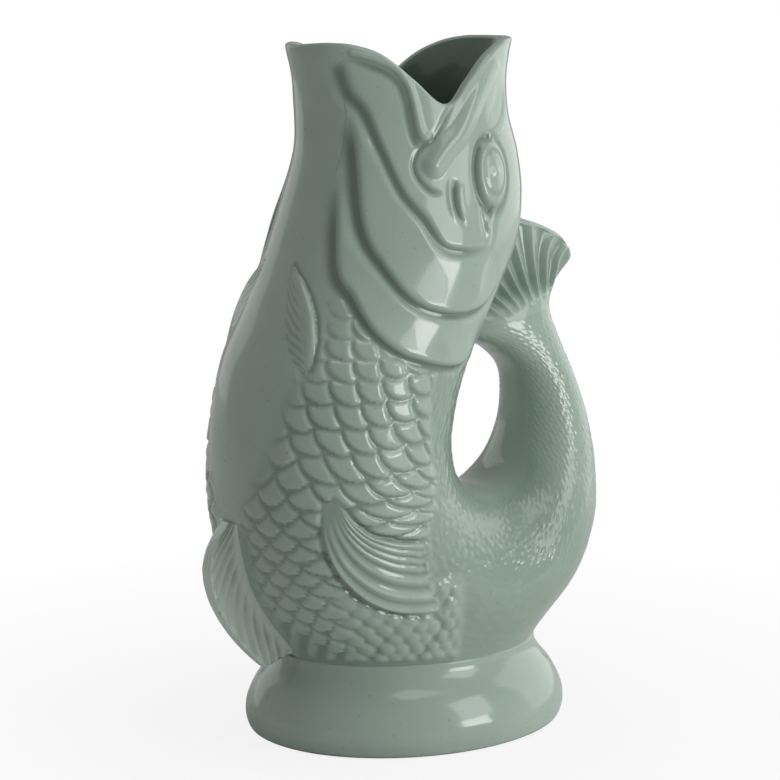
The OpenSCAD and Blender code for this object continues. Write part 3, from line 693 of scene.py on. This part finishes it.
def belly():
    shell = Shell()
    rows = np.interp(spread(np.interp(NECK, ARC_U, ARC_MM), np.interp(TAIL_FROM, ARC_U, ARC_MM),
                            int(250 * DENSE)), ARC_MM, ARC_U)
    rows[1], rows[-2] = NECK, TAIL_FROM
    angles = spare_angles(AROUND, True)
    start = start_angle(rows)
    u = np.repeat(rows[:, None], len(angles), 1)
    free = np.where(start > 0, start, -9)[:, None]
    a = np.clip(angles, free, 360 - free)
    points, normals, pool = patch(u, a)
    cut = start[1:-1] > 0
    points[..., 2] = np.where((a != angles)[1:-1, 1:-1], FOOT_H, points[..., 2])
    outer = shell.add(points, normals, pool)
    # Closer rows where the chamber opens into the foot
    inner_u = np.concatenate([np.linspace(NECK, 12.4, 16), np.linspace(12.6, 16.4, 22),
                              np.linspace(16.5, TAIL_FROM, 3)])
    inner_start = start_angle(inner_u, WALL)
    ia = inner_start[:, None] + (1 - inner_start[:, None] / 180) * AROUND
    inside = skin(np.repeat(inner_u[:, None], len(AROUND), 1), ia, WALL)
    inner_cut = inner_start > 0
    inside[inner_cut, 0, 2] = inside[inner_cut, -1, 2] = FOOT_H
    inner = shell.add(inside)
    shell.quads(outer, True)
    shell.quads(inner)
    shell.quads(np.stack([inner[0], outer[0]]), True)
    shell.quads(np.stack([outer[-1], inner[-1]]), True)
    o, i = np.flatnonzero(cut), np.flatnonzero(inner_cut)
    for side, flip in ((0, True), (-1, False)):
        shell.zip(outer[o[0] - 1:o[-1] + 2, side], inner[i[0] - 1:i[-1] + 2, side], flip)
    return shell.build("belly_glazed")


def head(name, angles):
    shell = Shell()
    # More columns where the cheek's relief is
    halfway = (angles[1:] + angles[:-1]) / 2
    halfway = halfway[(fold_angle(halfway) > 48) & (fold_angle(halfway) < 130)]
    angles = np.sort(np.concatenate([angles, halfway]))
    extra = np.flatnonzero(np.isin(angles, halfway))
    wide = spare_angles(angles, False)
    rim = rim_at(wide)
    t = spread(0, 1, int(190 * DENSE))
    t[1], t[-2] = 0, 1
    u = mix(rim, NECK, t[:, None])
    a = np.repeat(wide[None], len(t), 0)
    points, normals, pool = patch(u, a)
    # The belly's edge has no point at the extra angles, so theirs lie on the line between the others
    points[-1, extra] = (points[-1, extra - 1] + points[-1, extra + 1]) / 2
    rim = rim[1:-1]
    # The lip's rolled edge, a half round between the outer and the inner skin
    top_in = section_point(section(rim, WALL), angles)
    top_out = points[0]
    turn = np.radians(np.linspace(0, 180, 13))[1:-1]
    lip = np.stack([(top_out + top_in) / 2 + (top_out - top_in) / 2 * math.cos(k)
                    + np.array([0, 0, LIP_ROUND]) * math.sin(k) for k in turn[::-1]])
    inner_t = np.array([0, 0.05, 0.12, 0.2, 0.3, 0.42, 0.54, 0.66, 0.78, 0.9, 1])
    inner_u = mix(rim, NECK, inner_t[:, None])
    inside = section_point(section(inner_u, WALL), np.repeat(angles[None], len(inner_t), 0))
    # The mouth's inner wall is painted dark all over, as painted shade inside the mouth
    ids_in = shell.add(inside, None, np.full(inside.shape[:2], 0.9))
    ids_lip = shell.add(lip)
    normals[0] = np.nan
    ids_out = shell.add(points, normals, pool)
    shell.quads(np.concatenate([ids_in[::-1], ids_lip, ids_out]), True)
    shell.quads(np.stack([ids_out[-1], ids_in[-1]]), True)
    for side, flip in ((0, False), (-1, True)):
        edge_out = np.concatenate([ids_lip[:, side], ids_out[:, side]])
        shell.zip(edge_out, ids_in[:, side], flip)
    return shell.build(name)


def tail():
    shell = Shell()
    low, high = np.interp([TAIL_FROM, TAIL_TO], ARC_U, ARC_MM)
    rows = np.interp(spread(low, high, int(130 * DENSE)), ARC_MM, ARC_U)
    rows[1], rows[-2] = TAIL_FROM, TAIL_TO
    angles = spare_angles(AROUND, True)
    u, a = np.meshgrid(rows, angles, indexing="ij")
    points, normals, pool = patch(u, a)
    # Above this station the tail comes near the head
    lean = rows[1:-1] > 20
    points[lean] = off_back(points[lean])
    outer = shell.add(points, normals, pool)
    air_u = np.linspace(TAIL_FROM, AIR_TO, 12)
    iu, ia = np.meshgrid(air_u, AROUND, indexing="ij")
    inside = skin(iu, ia, WALL)
    inner = shell.add(inside)
    shell.quads(outer, True)
    shell.quads(inner)
    shell.quads(np.stack([inner[0], outer[0]]), True)
    hubs = shell.add(np.stack([points[-1].mean(0), inside[-1].mean(0)]))
    shell.fan(hubs[0], outer[-1], True)
    shell.fan(hubs[1], inner[-1])
    return shell.build("tail_glazed")


def fan_place(v, t):
    """Where the tail fin's middle plane lies, v of the way up and t of the way across, as [x, z]."""
    mid, way, depth, _ = section(mix(TAIL_TO, FIN_TO, v))
    flare = FAN_FLARE * smooth(v, 0.0, 0.6) * smooth(t, 0.35, 1.0)
    arch = FAN_ARCH * np.sin(np.pi * np.clip(t, 0, 1)) ** 2
    bow = smooth(v, 0.5, 1) * (arch - FAN_FALL * smooth(t, 0.5, 1))
    return mid + way * ((2 * t - 1) * depth)[..., None] + np.stack([flare, bow], -1)


def tail_fin():
    shell = Shell()
    rows = np.linspace(TAIL_TO, FIN_TO, int(96 * DENSE) + 1)
    turn = np.linspace(0, 360, int(360 * DENSE) + 1)
    u, a = np.meshgrid(rows, turn, indexing="ij")
    p = skin(u, a)
    mid, way, depth, _ = section(u)
    along_x, along_z = (p[..., 0] - mid[..., 0]) * way[..., 0], (p[..., 2] - mid[..., 1]) * way[..., 1]
    t = (1 + (along_x + along_z) / depth) / 2
    v = (u - TAIL_TO) / (FIN_TO - TAIL_TO)
    # The outer edge flares, the top edge is bowed, and the corner between them is rounded off
    v_round, t_round = 0.45, 0.72
    here = fan_place(v, t)
    rise = here - fan_place(np.minimum(v, v_round), t)
    reach = here - fan_place(v, np.minimum(t, t_round))
    high = np.clip((v - v_round) / (1 - v_round), 0, 1)
    out = np.clip((t - t_round) / (1 - t_round), 0, 1)
    here = here + rise * (np.sqrt(1 - out ** 2 / 2) - 1)[..., None]
    here = here + reach * (np.sqrt(1 - high ** 2 / 2) - 1)[..., None]
    p[..., 0], p[..., 2] = here[..., 0], here[..., 1]
    # The flutes fan out from a point in the tail, bend outward, and stop short of the thin top edge
    x, z = p[..., 0] - FLUTES_FROM[0], p[..., 2] - FLUTES_FROM[1]
    bend = 9 * smooth(v, 0.45, 1) * smooth(t, 0.3, 1)
    flute = np.abs(np.sin(np.pi * (27.5 + bend - np.degrees(np.arctan2(x, z))) / FLUTE_TURN)) ** 1.1
    flute *= smooth(np.hypot(x, z), 20, 34) * smooth(v, 0, 0.25) * (1 - smooth(v, 0.9, 0.98))
    p[..., 1] *= (1 - 0.34 * flute) * (1 - 0.45 * smooth(v, 0.9, 1.0) ** 2)
    p = off_back(p)
    pool = 0.45 * flute
    ring = np.concatenate([p[:, -2:-1], p, p[:, 1:2]], 1)
    normal = unit(np.cross(np.gradient(ring, axis=1), np.gradient(ring, axis=0)))[:, 1:-1]
    middle = p.mean(1, keepdims=True)
    normal *= np.sign(((p - middle) * normal).sum((1, 2), keepdims=True))
    normal[-2:] = np.nan
    ids = shell.add(p, normal, pool)
    shell.quads(ids, True)
    hubs = shell.add(np.stack([p[0].mean(0), p[-1].mean(0)]))
    shell.fan(hubs[0], ids[0])
    shell.fan(hubs[1], ids[-1], True)
    return shell.build("tail_fin_glazed")


def plate(name, region, side, along_n, across_n):
    """An applied plate: its top follows the relief, and its edge dips into the body."""
    shell = Shell()
    s = spread(0, 1, int(along_n * DENSE))
    k = spread(0, 1, int(across_n * DENSE))
    held = np.clip(k, 0, 1)
    # Columns are closer together near the plate's edges
    t = mix(k, (1 - np.cos(np.pi * held)) / 2, 0.8) + (k - held)
    s2, t2 = np.meshgrid(s, t, indexing="ij")
    spot = region.spot(s2, t2)
    u, a = spot[..., 0], spot[..., 1]
    at = Places(u, a)
    h, pool = relief(at)
    out = outward(u, a)
    full = skin(u, a) + out * h.reshape(u.shape)[..., None]
    normal = unit(np.cross(np.gradient(full, axis=0), np.gradient(full, axis=1)))
    normal *= np.sign((normal * out).sum(-1, keepdims=True))
    crop = (slice(1, -1), slice(1, -1))
    full, out, normal = full[crop], out[crop], normal[crop]
    pool = pool.reshape(u.shape)[crop]
    edge = np.ones(full.shape[:2], bool)
    edge[1:-1, 1:-1] = False
    full = full - out * np.where(edge, EDGE_DIP, 0)[..., None]
    under = skin(u, a)[crop] - out * PLATE_ROOT
    under = np.where(edge[..., None], full, under)
    flip = np.array([1, side, 1])
    top = shell.add(full * flip, normal * flip, pool)
    low = shell.add(under * flip)
    m, n = full.shape[0] // 2, full.shape[1] // 2
    turn = np.cross(full[m + 1, n] - full[m, n], full[m, n + 1] - full[m, n]) @ out[m, n] > 0
    turn = bool(turn) == (side > 0)
    shell.quads(top, turn)
    low[edge] = top[edge]
    shell.quads(low, not turn)
    return shell.build(name, weld=False)


def keel(name, low_u, high_u, shares, reach, half_edge, flutes):
    """A fin on the belly line, with flutes across its two faces and a flat outer edge."""
    shell = Shell()
    s = np.linspace(0, 1, int(110 * DENSE) + 1)
    # The fin's section: share of its half width at the root, and share of its height
    across = np.array([[-1, 0], [-0.8, 0.3], [-0.52, 0.7], [-0.42, 1], [0, 1.04], [0.42, 1],
                       [0.52, 0.7], [0.8, 0.3], [1, 0]])
    k = along(across, np.linspace(0, 8, int(56 * DENSE) + 1))
    u = mix(low_u, high_u, s)
    span = np.degrees(np.arcsin(np.minimum(1, 2.2 * half_edge / section(u)[3])))
    height = np.maximum(0.6, reach * along(shares, s * (len(shares) - 1)))
    u2 = np.repeat(u[:, None], len(k), 1)
    a2 = span[:, None] * k[:, 0]
    rise = np.clip(k[:, 1], 0, 1)[None]
    phase = flutes * (s[:, None] - 0.4 * rise)
    cut = np.abs(np.sin(np.pi * phase)) ** 0.9 * smooth(rise, 0.05, 0.3) * (1 - smooth(rise, 0.9, 1.04))
    a2 = a2 * (1 - 0.34 * cut * (np.abs(k[:, 0]) > 0.3))
    top = skin(u2, a2) + outward(u2, a2) * (height[:, None] * np.maximum(k[:, 1], 0) + 0.35)[..., None]
    # The root goes a millimetre into the body
    root = skin(u2, a2) - outward(u2, a2)
    ids = shell.add(top, None, 0.14 * cut - 0.26)
    low = shell.add(root)
    shell.quads(ids, True)
    shell.quads(low)
    for row, flip in ((0, False), (-1, True)):
        shell.quads(np.stack([low[row], ids[row]]), not flip)
        shell.quads(np.stack([low[:, row], ids[:, row]]), flip)
    return shell.build(name)


def foot():
    shell = Shell()
    turn = np.radians(np.linspace(0, 360, int(260 * DENSE) + 1))

    def ring(z, share, inset):
        x = mix(FOOT_LEN, WAIST_LEN, share) / 2 - inset
        y = mix(FOOT_W, WAIST_W, share) / 2 - inset
        return np.stack([FOOT_BACK - x * np.cos(turn), y * np.sin(turn), np.full_like(turn, z)], -1)

    dense = np.linspace(0, 10, int(64 * DENSE) + 1)
    profile = along(FOOT_PROFILE, dense)
    profile[:, 1] = np.clip(profile[:, 1], 0, 1)
    outer = [ring(z * FOOT_H, k, 0) for z, k in profile]
    # The inner wall follows the outline down to its sixth row
    inner = [ring(z * FOOT_H, k, WALL) for z, k in FOOT_PROFILE[:4:-1]]
    floor = [ring(FOOT_RECESS + FOOT_FLOOR, 0, WALL + FOOT_RECESS)]
    sole, bevel = FOOT_PROFILE[0, 1], 0.6
    under = [ring(FOOT_RECESS, sole, FOOT_RING + bevel), ring(FOOT_RECESS - bevel, sole, FOOT_RING),
             ring(0, sole, FOOT_RING)]
    rings = np.stack(under + outer + inner + floor)
    ids = shell.add(rings)
    shell.quads(ids, True)
    hubs = shell.add(np.array([[FOOT_BACK, 0, FOOT_RECESS], [FOOT_BACK, 0, FOOT_RECESS + FOOT_FLOOR]]))
    shell.fan(hubs[0], ids[0])
    shell.fan(hubs[1], ids[-1], True)
    return shell.build("foot_glazed")


def node(tree, kind, **inputs):
    """A new node with some of its inputs set. An underscore in a name stands for a space."""
    made = tree.nodes.new(kind)
    for name, value in inputs.items():
        made.inputs[name.replace("_", " ")].default_value = value
    return made


def glaze():
    """Celadon over cast clay: paler where it runs thin on ridges, deeper where it pools, and darker where
    shade is painted in.
    """
    mat = bpy.data.materials.new("celadon_glaze")
    mat.use_nodes = True
    tree, link = mat.node_tree, mat.node_tree.links.new
    shader = tree.nodes["Principled BSDF"]
    shader.inputs["Roughness"].default_value = 0.16
    shader.inputs["IOR"].default_value = 1.5
    shader.inputs["Coat Weight"].default_value = 0.6
    shader.inputs["Coat Roughness"].default_value = 0.04
    place = node(tree, "ShaderNodeTexCoord")
    cloud = node(tree, "ShaderNodeTexNoise", Scale=26, Detail=3)
    speck = node(tree, "ShaderNodeTexNoise", Scale=420, Detail=2)
    ripple = node(tree, "ShaderNodeTexNoise", Scale=70, Detail=2)
    for texture in (cloud, speck, ripple):
        link(place.outputs["Object"], texture.inputs["Vector"])
    # The colour follows the pooled glaze and the painted shade, with faint clouds
    pool = node(tree, "ShaderNodeAttribute")
    pool.attribute_name = "pool"
    thick_and_shade = node(tree, "ShaderNodeMath")
    thick_and_shade.operation = "MULTIPLY_ADD"
    thick_and_shade.inputs[1].default_value = 0.35
    link(cloud.outputs["Fac"], thick_and_shade.inputs[0])
    link(pool.outputs["Fac"], thick_and_shade.inputs[2])
    ramp = node(tree, "ShaderNodeValToRGB")
    steps = ramp.color_ramp.elements
    steps[0].position, steps[0].color = 0.0, (0.56, 0.665, 0.59, 1)
    steps[1].position, steps[1].color = 1.0, (0.145, 0.208, 0.163, 1)
    for position, color in ((0.12, (0.378, 0.475, 0.405, 1)), (0.35, (0.308, 0.404, 0.338, 1))):
        steps.new(position).color = color
    link(thick_and_shade.outputs[0], ramp.inputs["Fac"])
    # A few dark specks of iron
    few = node(tree, "ShaderNodeMapRange", From_Min=0.68, From_Max=0.78, To_Max=0.35)
    link(speck.outputs["Fac"], few.inputs["Value"])
    spotted = node(tree, "ShaderNodeMix")
    spotted.data_type = "RGBA"
    spotted.inputs["B"].default_value = (0.12, 0.15, 0.12, 1)
    link(few.outputs["Result"], spotted.inputs["Factor"])
    link(ramp.outputs["Color"], spotted.inputs["A"])
    link(spotted.outputs["Result"], shader.inputs["Base Color"])
    bump = node(tree, "ShaderNodeBump", Strength=0.25, Distance=0.0006)
    link(ripple.outputs["Fac"], bump.inputs["Height"])
    link(bump.outputs["Normal"], shader.inputs["Normal"])
    return mat


def stage():
    """A white floor that keeps the jug's shadow, a white world and six soft lamps."""
    mat = bpy.data.materials.new("floor_white")
    mat.use_nodes = True
    tree, link = mat.node_tree, mat.node_tree.links.new
    plain = tree.nodes["Principled BSDF"]
    plain.inputs["Base Color"].default_value = (0.8, 0.8, 0.8, 1)
    plain.inputs["Roughness"].default_value = 0.9
    # For the camera the floor fades to plain white away from the jug's shadow
    white = node(tree, "ShaderNodeEmission")
    path = node(tree, "ShaderNodeLightPath")
    place = node(tree, "ShaderNodeTexCoord")
    away = node(tree, "ShaderNodeVectorMath")
    away.operation = "LENGTH"
    fade = node(tree, "ShaderNodeMapRange", From_Min=0.08, From_Max=0.34, To_Min=0.86)
    seen = node(tree, "ShaderNodeMath")
    seen.operation = "MULTIPLY"
    blend = node(tree, "ShaderNodeMixShader")
    link(place.outputs["Object"], away.inputs[0])
    link(away.outputs["Value"], fade.inputs["Value"])
    link(fade.outputs["Result"], seen.inputs[0])
    link(path.outputs["Is Camera Ray"], seen.inputs[1])
    link(seen.outputs[0], blend.inputs[0])
    link(plain.outputs[0], blend.inputs[1])
    link(white.outputs[0], blend.inputs[2])
    link(blend.outputs[0], tree.nodes["Material Output"].inputs["Surface"])
    mesh = bpy.data.meshes.new("floor")
    mesh.from_pydata([(-6, -6, 0), (6, -6, 0), (6, 6, 0), (-6, 6, 0)], [], [(0, 1, 2, 3)])
    floor = bpy.data.objects.new("floor", mesh)
    mesh.materials.append(mat)
    bpy.context.scene.collection.objects.link(floor)

    world = bpy.data.worlds.new("studio")
    bpy.context.scene.world = world
    world.use_nodes = True
    tree, link = world.node_tree, world.node_tree.links.new
    base = tree.nodes["Background"]
    base.inputs["Color"].default_value = (0.3, 0.3, 0.3, 1)
    base.inputs["Strength"].default_value = 1.0
    white = node(tree, "ShaderNodeBackground", Color=(1, 1, 1, 1), Strength=1.0)
    path = node(tree, "ShaderNodeLightPath")
    pick = node(tree, "ShaderNodeMixShader")
    link(path.outputs["Is Camera Ray"], pick.inputs[0])
    link(base.outputs[0], pick.inputs[1])
    link(white.outputs[0], pick.inputs[2])
    link(pick.outputs[0], tree.nodes["World Output"].inputs["Surface"])

    jug_middle = 0.14

    def lamp(name, azimuth, elevation, distance, width, height, power, mirrored=True):
        """A lamp that faces the jug's middle, and shows in the glaze where it is mirrored."""
        light = bpy.data.lights.new(name, "AREA")
        light.shape = "RECTANGLE"
        light.size, light.size_y, light.energy = width, height, power
        obj = bpy.data.objects.new(name, light)
        az, el = math.radians(azimuth), math.radians(elevation)
        way = np.array([math.sin(az) * math.cos(el), -math.cos(az) * math.cos(el), math.sin(el)])
        obj.location = way * distance + np.array([0, 0, jug_middle])
        obj.visible_glossy = mirrored
        aim = math.atan2(way[1], way[0])
        obj.rotation_euler = (math.pi / 2 - el, 0, aim + math.pi / 2)
        bpy.context.scene.collection.objects.link(obj)

    # Azimuth, elevation, distance, width, height and power
    lamp("key_low", 29, 6, 1.3, 0.42, 0.34, 2.5)
    lamp("key_high", 32, 25, 1.3, 0.5, 0.5, 1.6)
    lamp("side", 98, 16, 2.2, 2.2, 2.2, 12)
    lamp("fill", 54, 2, 2.6, 2.4, 2.0, 34, False)
    lamp("top", 20, 72, 1.6, 0.9, 0.9, 3)
    lamp("left", -168, 10, 2.0, 1.0, 1.5, 2)


def camera():
    """The photograph's camera: 31 degrees round from the side and 9 degrees above level."""
    data = bpy.data.cameras.new("camera")
    data.sensor_width, data.lens = 36.0, 111.37
    data.clip_start = 0.01
    cam = bpy.data.objects.new("camera", data)
    # It stands a metre from its target, measured along the floor
    target, height = (-0.0051, 0.143), 0.3075
    spin = math.radians(-31)
    cam.location = (target[0] + math.sin(spin), -math.cos(spin), height)
    down = math.atan2(height - target[1], 1.0)
    cam.rotation_euler = (math.pi / 2 - down, 0, spin)
    bpy.context.scene.collection.objects.link(cam)
    bpy.context.scene.camera = cam


def main():
    bpy.context.scene.view_settings.view_transform = "Standard"
    camera()
    stage()
    mat = glaze()
    jaw_half = np.append(AROUND[AROUND < JAW_ANGLE], JAW_ANGLE)
    jaw_angles = np.concatenate([-jaw_half[:0:-1], jaw_half])
    behind = AROUND[(AROUND > JAW_ANGLE) & (AROUND < 360 - JAW_ANGLE)]
    skull_angles = np.concatenate([[JAW_ANGLE], behind, [360 - JAW_ANGLE]])
    pieces = {
        "foot": foot(),
        "belly": belly(),
        "jaw": head("jaw_glazed", jaw_angles),
        "skull": head("skull_glazed", skull_angles),
        "tail": tail(),
        "tail_fin": tail_fin(),
        "front_fin": keel("front_fin_glazed", 10.7, 12.85,
                          np.array([0.08, 0.6, 0.9, 1, 1, 0.98, 0.92, 0.82]), 14.4, 2.9, 9),
        "rear_fin": keel("rear_fin_glazed", 15.975, 16.825,
                         np.array([0.1, 0.7, 0.95, 1, 0.9, 0.7, 0.3]), 4.6, 1.9, 5),
    }
    for suffix, side in (("left", 1), ("right", -1)):
        for part, region, along_n, across_n in (("cheek", CHEEK, 150, 30), ("gill_cover", GILL, 170, 34),
                                                ("maxilla", MAXILLA, 40, 30), ("eye", EYE, 70, 50),
                                                ("breast_fin", BREAST, 90, 26),
                                                ("side_fin", SIDE, 110, 110)):
            full = part + "_" + suffix
            pieces[full] = plate(full + "_glazed", region, side, along_n, across_n)
    for part, piece in pieces.items():
        piece.data.materials.append(mat)
        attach(piece, "root")
        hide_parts(part)


main()
